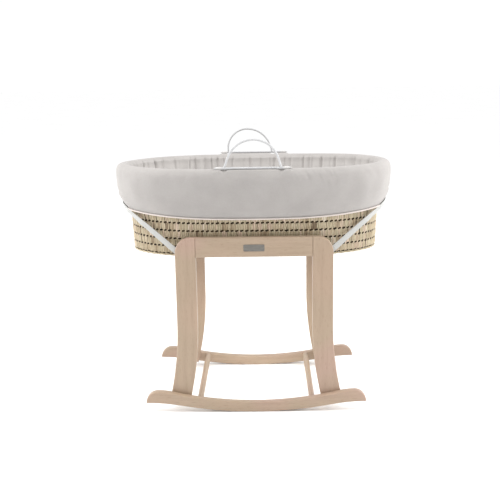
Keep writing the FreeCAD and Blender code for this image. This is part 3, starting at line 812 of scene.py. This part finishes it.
def lining_folds(distance, period, z):
    """How far the lining stands in: deep narrow gathers between soft puffs."""
    folds = fold_spots(period, 74, (0.0008, 0.0075), (0.0016, 0.0042), 0.06, (0.08, 0.26))
    puffs = waves(distance, period, 0.055, 5)
    crease = np.minimum(gather_depth(distance, period, z, folds), 0.0080)
    free = smooth((z - 0.515) / 0.05) * smooth((0.731 - z) / 0.008)
    return free * (crease - 0.0070 - 0.0012 * puffs)


def settled_rim(x, y, z):
    """The liner's heights with its rim settled, and shaped round the handles' bars."""
    near_top = smooth((z - 0.715) / 0.012)
    rear = smooth((y + 0.02) / 0.12) * smooth((0.36 - x) / 0.2)
    z = z - (RIM_SETTLED + REAR_SAG * rear) * near_top
    from_bar = np.abs(np.abs(y) - HANDLE_Y)
    from_foot = np.where(y < 0, nearest(x, FRONT_LOOP[:2]), nearest(x, REAR_LOOP[:2]))
    dip = np.clip(1.5 * np.exp(-(from_foot / DIP_WIDTH) ** 2), 0, 1)
    lips = (1 - dip) * np.exp(-((from_bar - LIP_OFFSET) / LIP_WIDTH) ** 2)
    wanted = HANDLE_Z + np.where(y < 0, FRONT_LIP, REAR_LIP)
    groove = smooth((GROOVE_HALF - from_bar) / GROOVE_EDGE)
    rise = lips * np.clip(wanted - z, 0, LIP_MOST) - GROOVE_DEPTH * groove
    return z + smooth((BAR_REACH - np.abs(x)) / 0.010) * near_top * rise


def padded_liner(material):
    rows = refine(liner_outline(), 1)
    oval = Oval(0.405, 0.210)
    distance = np.arange(LINER_COLUMNS) / LINER_COLUMNS * oval.length
    centre, angle = oval.at(distance)
    z, half_length, half_width = [column[:, None] * np.ones(LINER_COLUMNS) for column in rows.T]
    row_share = np.linspace(0, 1, len(rows))[:, None]
    crest = np.argmax(rows[:, 0]) / (len(rows) - 1)
    outside = smooth((crest - row_share) / 0.10)
    inside = smooth((row_share - crest) / 0.06)

    over_hem = z - HEM_Z
    lift, half_length, half_width = lift_hem(centre, angle, z, half_length, half_width, outside)
    z = z + lift
    x, y = oval_point(centre, angle, half_length, half_width)
    nx, ny = oval_normal(angle, half_length, half_width)
    push = outside * skirt_folds(distance, oval.length, z, over_hem)
    push = push + inside * lining_folds(distance, oval.length, z)
    z = settled_rim(x, y, z)
    verts = np.stack([x + nx * push, y + ny * push, z], -1).reshape(-1, 3)

    faces = grid_faces(len(rows), LINER_COLUMNS, closed_columns=True)
    piece = new_piece("padded_liner", verts, faces, material)
    set_values(piece, lining=inside * smooth((0.726 - z) / 0.020))
    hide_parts("liner_skirt", "liner_lining")
    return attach(piece, "basket")


def hem_piping(material):
    """Corded piping sewn along the hem."""
    oval = Oval(0.393, 0.190)
    places = oval.around(900)
    x, _ = oval_point(*places, *SKIRT_PROFILE[0][1:])
    z = hem_height(x)
    half_length, half_width = profile_at(SKIRT_PROFILE, z)
    line = oval_ring(places, half_length + PIPING_OFF, half_width + PIPING_OFF, z + PIPING_OFF)
    stitches_round = round(oval.length / PIPING_STITCH)

    def radius_at(distance, _):
        pinch = 0.5 + 0.5 * np.cos(2 * math.pi * stitches_round * distance / oval.length)
        return PIPING_RADIUS * (0.94 + 0.06 * pinch)
    verts, faces = tube(line, radius_at, closed=True, around=10)
    piece = new_piece("sewn_piping", verts, faces, material)
    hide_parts("hem_piping")
    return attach(piece, "basket")


# ---- Mattress ----

MATTRESS_SHRINK = 0.005      # the block is this much smaller than the mattress before it swells
VOXEL = 0.006
PRESSURE = 4.0
MOST_TRAVEL = 0.004
SWELL_STEPS = 20
QUILT_PITCH = 0.060
QUILT_WIDTH = 0.004
QUILT_DEPTH = 0.0022
EDGE_PIPING_RADIUS = 0.0018
EDGE_PIPING_INSET = 0.0015


def mattress_start():
    """A closed oval block a little smaller than the mattress."""
    low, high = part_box("mattress_cover")
    half_length = high.x - MATTRESS_SHRINK
    half_width = high.y - MATTRESS_SHRINK
    count = 160
    places = Oval(half_length, half_width).around(count)
    outline = oval_ring(places, half_length, half_width, 0.0)
    bottom = low.z + 0.002
    top = high.z - 0.004
    levels = [(bottom, 0.01), (bottom, 0.6), (bottom, 0.985), (low.z + 0.008, 1.0),
              (high.z - 0.010, 1.0), (top, 0.985), (top, 0.6), (top, 0.01)]
    verts = np.concatenate([outline * [share, share, 0] + [0, 0, z] for z, share in levels])
    faces = [tuple(f) for f in grid_faces(len(levels), count, closed_columns=True)]
    faces.append(tuple(range(count))[::-1])
    faces.append(tuple(range(len(verts) - count, len(verts))))
    return verts, faces


def swell(piece):
    """Cloth with air inside it, stopped early, with each point's travel capped."""
    remesh = piece.modifiers.new("voxels", "REMESH")
    remesh.mode = "VOXEL"
    remesh.voxel_size = VOXEL
    apply_modifier(piece, remesh)
    before = vertex_array(piece)
    cloth_modifier = piece.modifiers.new("cloth", "CLOTH")
    settings = cloth_modifier.settings
    settings.use_pressure = True
    settings.uniform_pressure_force = PRESSURE
    settings.effector_weights.gravity = 0.0
    settings.quality = 5
    for step in range(1, SWELL_STEPS + 1):
        bpy.context.scene.frame_set(step)
    apply_modifier(piece, cloth_modifier)
    bpy.context.scene.frame_set(1)
    moved = vertex_array(piece) - before
    length = np.linalg.norm(moved, axis=1)[:, None]
    moved *= np.minimum(1.0, MOST_TRAVEL / np.maximum(length, 1e-9))
    move_vertices(piece, before + moved)


def mattress(material, piping_material):
    verts, faces = mattress_start()
    piece = new_piece("mattress_pad", verts, faces, material)
    swell(piece)
    low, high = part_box("mattress_cover")
    points = vertex_array(piece)
    on_top = smooth((points[:, 2] - (high.z - 0.012)) / 0.008)
    points[:, 2] -= QUILT_DEPTH * quilting(points[:, 0], points[:, 1]) * on_top
    points[:, 2] = np.clip(points[:, 2], low.z + 0.0005, high.z + 0.004)
    move_vertices(piece, points)
    piece.data.shade_smooth()
    finer = piece.modifiers.new("finer", "SUBSURF")
    finer.levels = 1
    finer.render_levels = 1
    apply_modifier(piece, finer)
    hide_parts("mattress_cover", "mattress_core")
    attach(piece, "mattress")
    edge_piping(high, piping_material)
    return piece


def quilting(x, y):
    """Sewn diamond lines, 1 on a line and 0 between."""
    total = np.zeros_like(x)
    for sign in (-1, 1):
        phase = np.mod((x + sign * y) / QUILT_PITCH, 1.0)
        gap = np.minimum(phase, 1 - phase) * QUILT_PITCH
        total = np.maximum(total, np.exp(-(gap / QUILT_WIDTH) ** 2))
    return total


def edge_piping(high, material):
    """Piping round the mattress, below its upper edge."""
    half_length = high.x - EDGE_PIPING_INSET
    half_width = high.y - EDGE_PIPING_INSET
    places = Oval(half_length, half_width).around(600)
    line = oval_ring(places, half_length, half_width, high.z - 0.006)
    verts, faces = tube(line, lambda *_: EDGE_PIPING_RADIUS, closed=True, around=10)
    piece = new_piece("mattress_piping", verts, faces, material)
    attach(piece, "mattress")


# ---- Straps and slings ----

STRAP_WIDTH = 0.017
STRAP_THICKNESS = 0.0016
STRAP_LOW_Z = 0.489          # where the strap leaves the leg
STRAP_END_Z = 0.607          # where it crosses the basket's end
STRAP_RUN = 0.262
STRAP_FREE_RUN = 0.105       # the first stretch, before it touches the basket
STRAP_TOUCH_ANGLE = math.radians(42)
STRAP_SKIRT_FROM_Z = 0.540
STRAP_SKIRT_TO_Z = 0.575
LEG_EDGE_X = 0.2315          # outer edge of the leg at the strap's height
STRAP_OFF_WALL = 0.0024      # the strap's middle stands this far off the bare wall
STRAP_OFF_SKIRT = 0.0028
STRAP_TILT = 0.65            # how far it follows the skirt's slope, from 0 to 1
STRAP_TAIL = 0.003           # webbing left off at each end, behind the leg
STRAP_STEPS = 16             # round the basket, from where it touches to the middle of the end
STRAP_POINTS = 260
STRAP_EASING = 6             # passes that round its line
SLING_WIDTH = 0.040
SLING_THICKNESS = 0.002
SLING_LEAVES_RAIL_Z = 0.4845
SLING_FLAT_HALF = 0.152      # half of the stretch that lies flat under the base
SLING_POINTS = 160
SLING_EASING = 4


def strap_reach(z):
    """Half length and half width that the strap goes round at height z, and how much it tilts."""
    top = z + STRAP_WIDTH / 2
    ramp = smooth((top - STRAP_SKIRT_FROM_Z) / (STRAP_SKIRT_TO_Z - STRAP_SKIRT_FROM_Z))
    wall = profile_at(WALL_PROFILE, min(top, HEM_Z))
    skirt = profile_at(SKIRT_PROFILE, z)
    half_length, half_width = [(a + STRAP_OFF_WALL) * (1 - ramp) + (b + STRAP_OFF_SKIRT) * ramp
                               for a, b in zip(wall, skirt)]
    step = 0.008
    slope = (profile_at(SKIRT_PROFILE, z + step)[0] - skirt[0]) / step
    return half_length, half_width, STRAP_TILT * ramp * slope


def strap_line():
    """The left strap's points and outward directions, from the front leg to the end's middle."""
    leg_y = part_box("front_left_leg")[1].y + STRAP_THICKNESS / 2
    tail_x = -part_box("left_end_strap")[1].x + STRAP_TAIL
    rise = STRAP_END_Z - STRAP_LOW_Z
    slope = rise * math.pi / 2 / STRAP_RUN
    points = [(-t, leg_y, STRAP_LOW_Z - slope * (LEG_EDGE_X - t))
              for t in np.linspace(tail_x, LEG_EDGE_X, 5)]
    outwards = [(0.0, -1.0, 0.0)] * len(points)
    for share in np.linspace(0, 1, STRAP_STEPS + 1):
        angle = STRAP_TOUCH_ANGLE * (1 - share)
        along = STRAP_FREE_RUN + (STRAP_RUN - STRAP_FREE_RUN) * share
        z = STRAP_LOW_Z + rise * math.sin(along / STRAP_RUN * math.pi / 2)
        half_length, half_width, tilt = strap_reach(z)
        x, y = oval_point(SIDE_HALF, angle, half_length, half_width)
        points.append((-x, -y, z))
        nx, ny = oval_normal(angle, half_length, half_width)
        outwards.append((-nx, -ny, -tilt))
    return np.array(points), np.array(outwards)


def tape(name, node, shape, material):
    """A piece of webbing that stands for a node of the stand; shape is what ribbon gives."""
    verts, faces, along, across = shape
    piece = new_piece(name, verts, faces, material)
    set_values(piece, along=along, across=across)
    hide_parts(node)
    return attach(piece, "stand")


def end_strap(side, material):
    """side is -1 at the left end and 1 at the right end."""
    half, half_out = strap_line()
    mirror = np.array([1, -1, 1])
    line = np.concatenate([half, half[-2::-1] * mirror])
    outwards = np.concatenate([half_out, half_out[-2::-1] * mirror])
    to_side = np.array([-side, 1, 1])
    outwards = rounded(line, outwards, STRAP_POINTS, STRAP_EASING) * to_side
    line = rounded(line, line, STRAP_POINTS, STRAP_EASING) * to_side
    name = "left" if side < 0 else "right"
    shape = ribbon(line, outwards, STRAP_WIDTH, STRAP_THICKNESS, 8)
    return tape(name + "_webbing", name + "_end_strap", shape, material)


def sling(name, material):
    """Webbing screwed behind both rails, which hangs down and lies flat under the base."""
    low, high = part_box(name)
    x = (low.x + high.x) / 2
    rail_y = high.y - SLING_THICKNESS / 2
    under_z = low.z + SLING_THICKNESS / 2
    half = [(x, rail_y, high.z), (x, rail_y, SLING_LEAVES_RAIL_Z), (x, SLING_FLAT_HALF, under_z)]
    line = np.array([(x, -y, z) for x, y, z in half] + half[::-1])
    line = rounded(line, line, SLING_POINTS, SLING_EASING)
    outwards = np.cross(np.gradient(line, axis=0), [1.0, 0.0, 0.0])
    shape = ribbon(line, outwards, SLING_WIDTH, SLING_THICKNESS, 16)
    return tape(name + "_webbing", name, shape, material)


# ---- Handles ----

HANDLE_RADIUS = 0.0033
BRAID_PITCH = 0.018
BRAID_STRANDS = 8
CORD_STEP = 0.0011
CORD_AROUND = 32
SLEEVE_INNER_X = 0.088       # where the cloth loops round a handle's bar start
SLEEVE_OVERHANG = 0.004
SLEEVE_SLACK = 0.0022
SLEEVE_POINTS = 26


def crown_line(left_x, right_x, peak_x, peak_z, left_radius, right_radius):
    """The handle's loop in the XZ plane, from its left base to its right base."""
    def half(base_x, radius):
        centre = np.array([peak_x, peak_z - radius])
        base = np.array([base_x, HANDLE_Z])
        reach = base - centre
        away = math.acos(radius / np.linalg.norm(reach))
        start = math.atan2(reach[1], reach[0]) + (-away if base_x < peak_x else away)
        if start < -math.pi / 2:
            start += 2 * math.pi
        angles = np.linspace(start, math.pi / 2, 34)
        crown = centre + radius * np.stack([np.cos(angles), np.sin(angles)], -1)
        run = base + (crown[0] - base) * np.linspace(0, 1, 10)[:-1, None]
        return np.concatenate([run, crown])
    return np.concatenate([half(left_x, left_radius), half(right_x, right_radius)[-2::-1]])


def braid_radius(distance, turn):
    """A braided cord: strands each way that cross over one another."""
    along = 2 * math.pi * distance / BRAID_PITCH / 4
    crossing = np.sin(BRAID_STRANDS * (turn + along)) * np.sin(BRAID_STRANDS * (turn - along))
    return HANDLE_RADIUS * (0.955 + 0.045 * crossing)


def handle_cord(points_xz, y):
    """A braided cord along a line in a plane of constant y."""
    points = np.stack([points_xz[:, 0], np.full(len(points_xz), y), points_xz[:, 1]], -1)
    even = np.arange(0, distances_along(points)[-1], CORD_STEP)
    points = read_at(even, points, points)
    return tube(points, braid_radius, around=CORD_AROUND, side=[0.0, 1.0, 0.0])


def carry_handle(name, y, loop, material):
    low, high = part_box(name)
    bar = np.array([[low.x, HANDLE_Z], [0, HANDLE_Z], [high.x, HANDLE_Z]])
    verts, faces = joined([handle_cord(crown_line(*loop), y), handle_cord(bar, y)])
    piece = new_piece(name + "_cord", verts, faces, material)
    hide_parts(name)
    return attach(piece, name.replace("_handle", "_carry_handle"))


def sleeve(name, material):
    """Two gathered cloth loops that hold the ends of a handle's bar."""
    low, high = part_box(name)
    radius = (high.z - low.z) / 2 - SLEEVE_SLACK
    outer = high.x + SLEEVE_OVERHANG
    xs = np.linspace(SLEEVE_INNER_X, outer, SLEEVE_POINTS)

    def radius_at(distance, turn):
        share = distance / (outer - SLEEVE_INNER_X)
        waist = 0.80 + 0.20 * np.sin(math.pi * np.clip(share, 0, 0.8) / 0.8)
        closing = 1 - 0.60 * smooth((share - 0.60) / 0.40)
        pleats = 1 + 0.07 * np.cos(9 * turn + 2 * share) * (0.4 + 0.6 * share)
        return radius * waist * closing * pleats
    middle = [np.full(SLEEVE_POINTS, (low.y + high.y) / 2), np.full(SLEEVE_POINTS, HANDLE_Z)]
    verts, faces = joined([tube(np.stack([side * xs] + middle, -1), radius_at, around=40)
                           for side in (-1, 1)])
    piece = new_piece(name + "_cloth", verts, faces, material)
    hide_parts(name)
    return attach(piece, "basket")


# ---- Wood and metal carried over from the frame ----

def paint(nodes, material):
    for node in nodes:
        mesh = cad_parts[node].data
        mesh.materials.clear()
        mesh.materials.append(material)


def paint_frame():
    wood_x = beech("beech_along_x", 0)
    wood_y = beech("beech_along_y", 1)
    wood_z = beech("beech_along_z", 2)
    paint(["front_rocker", "rear_rocker", "front_top_rail", "rear_top_rail", "rail_dowels"], wood_x)
    paint(["lower_rod_left", "lower_rod_right"], wood_y)
    paint([f"{end}_{side}_leg" for end in ("front", "rear") for side in ("left", "right")], wood_z)
    paint(["leg_bolts", "insert_nuts", "strap_screws", "strap_washers", "sling_screws"], steel())
    paint(["blank_plate", "plate_pins"], plate_metal())


# ---- Stage ----

FLOOR_HALF = 30.0
CAMERA_PLACE = (0.0288, -2.6131, 1.0316)
CAMERA_HEADING = math.radians(0.953)
CAMERA_DOWN = math.radians(12.533)
CAMERA_ROLL = math.radians(-0.911)
CAMERA_LENS = 61.43
SENSOR_WIDTH = 36.0


def floor():
    shader = Shader("floor_white", 0.9)
    speck = shader.noise(shader.coordinates((2.0, 2.0, 2.0)), 1.0, 2.0)
    shader.colour(shader.ramp(speck, [(0.3, (0.96, 0.96, 0.96)), (0.7, (0.98, 0.98, 0.98))]))
    corners = [(x * FLOOR_HALF, y * FLOOR_HALF, 0)
               for x, y in ((-1, -1), (1, -1), (1, 1), (-1, 1))]
    new_piece("floor", corners, [(0, 1, 2, 3)], shader.material, shade_smooth=False)


def softbox(name, place, aim, size, power):
    light = bpy.data.lights.new(name, "AREA")
    light.shape = "RECTANGLE"
    light.size, light.size_y = size
    light.energy = power
    lamp = bpy.data.objects.new(name, light)
    bpy.context.scene.collection.objects.link(lamp)
    lamp.location = place
    lamp.rotation_euler = (Vector(aim) - Vector(place)).to_track_quat("-Z", "Y").to_euler()
    return lamp


def studio():
    """White all round, three large soft lights, and a small card for the shaded rear frame."""
    world = bpy.data.worlds.new("studio")
    bpy.context.scene.world = world
    world.use_nodes = True
    background = world.node_tree.nodes["Background"]
    background.inputs["Color"].default_value = (1.0, 1.0, 1.0, 1.0)
    background.inputs["Strength"].default_value = 1.03
    softbox("left_box", place=(-2.6, 0.10, 1.3), aim=(0, 0, 0.6), size=(1.4, 1.6), power=52)
    softbox("right_box", place=(2.6, 0.10, 1.3), aim=(0, 0, 0.6), size=(1.4, 1.6), power=54)
    softbox("top_box", place=(0, -0.7, 3.0), aim=(0, 0.1, 0.4), size=(3.0, 2.2), power=60)
    card = softbox("fill_card", place=(0, -0.16, 0.34), aim=(0, 0.2, 0.03),
                   size=(0.28, 0.10), power=0.44)
    card.data.spread = math.radians(90)
    card.visible_camera = False
    bpy.context.scene.view_settings.view_transform = "Standard"


def camera():
    data = bpy.data.cameras.new("camera")
    data.lens = CAMERA_LENS
    data.sensor_width = SENSOR_WIDTH
    eye = bpy.data.objects.new("camera", data)
    bpy.context.scene.collection.objects.link(eye)
    heading = Matrix.Rotation(CAMERA_HEADING, 4, "Z")
    pitch = Matrix.Rotation(math.pi / 2 - CAMERA_DOWN, 4, "X")
    roll = Matrix.Rotation(CAMERA_ROLL, 4, "Z")
    eye.matrix_world = Matrix.Translation(CAMERA_PLACE) @ heading @ pitch @ roll
    bpy.context.scene.camera = eye


# ---- Everything ----

camera()
studio()
floor()
paint_frame()

leaf = palm_leaf()
liner_cloth = cloth("liner_cotton", srgb(159, 155, 152), sheen=0.08, mottle=0.09,
                    lining=srgb(182, 178, 175))
piping_cloth = cloth("piping_cotton", srgb(198, 188, 182), 2200.0)
loop_cloth = cloth("loop_cotton", srgb(196, 194, 192), 1900.0)
cover_cloth = cloth("cover_cotton", srgb(186, 184, 179))
strap_tape = webbing("strap_tape", srgb(173, 173, 170))
cord_material = cord_white()

woven_core(dark_core())
woven_wall(leaf)
woven_base(leaf)
rope_ring("base_coil", half_length=0.3722, half_width=0.1512, z=BASE_Z + 0.0026,
          radius=0.0031, strands=2, twist=0.022, material=leaf)
rim_z = (WALL_TOP_Z + RIM_TOP_Z) / 2 - 0.001
rim = rope_ring("rim_coil", half_length=0.3925, half_width=0.2040, z=rim_z,
                radius=0.0055, strands=3, twist=0.060, material=leaf)
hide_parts("basket_rim")
padded_liner(liner_cloth)
hem_piping(piping_cloth)
mattress(cover_cloth, piping_cloth)
for end in (-1, 1):
    end_strap(end, strap_tape)
sling("left_sling", strap_tape)
sling("right_sling", strap_tape)
carry_handle("front_handle", -HANDLE_Y, FRONT_LOOP, cord_material)
carry_handle("rear_handle", HANDLE_Y, REAR_LOOP, cord_material)
sleeve("front_handle_loops", loop_cloth)
sleeve("rear_handle_loops", loop_cloth)
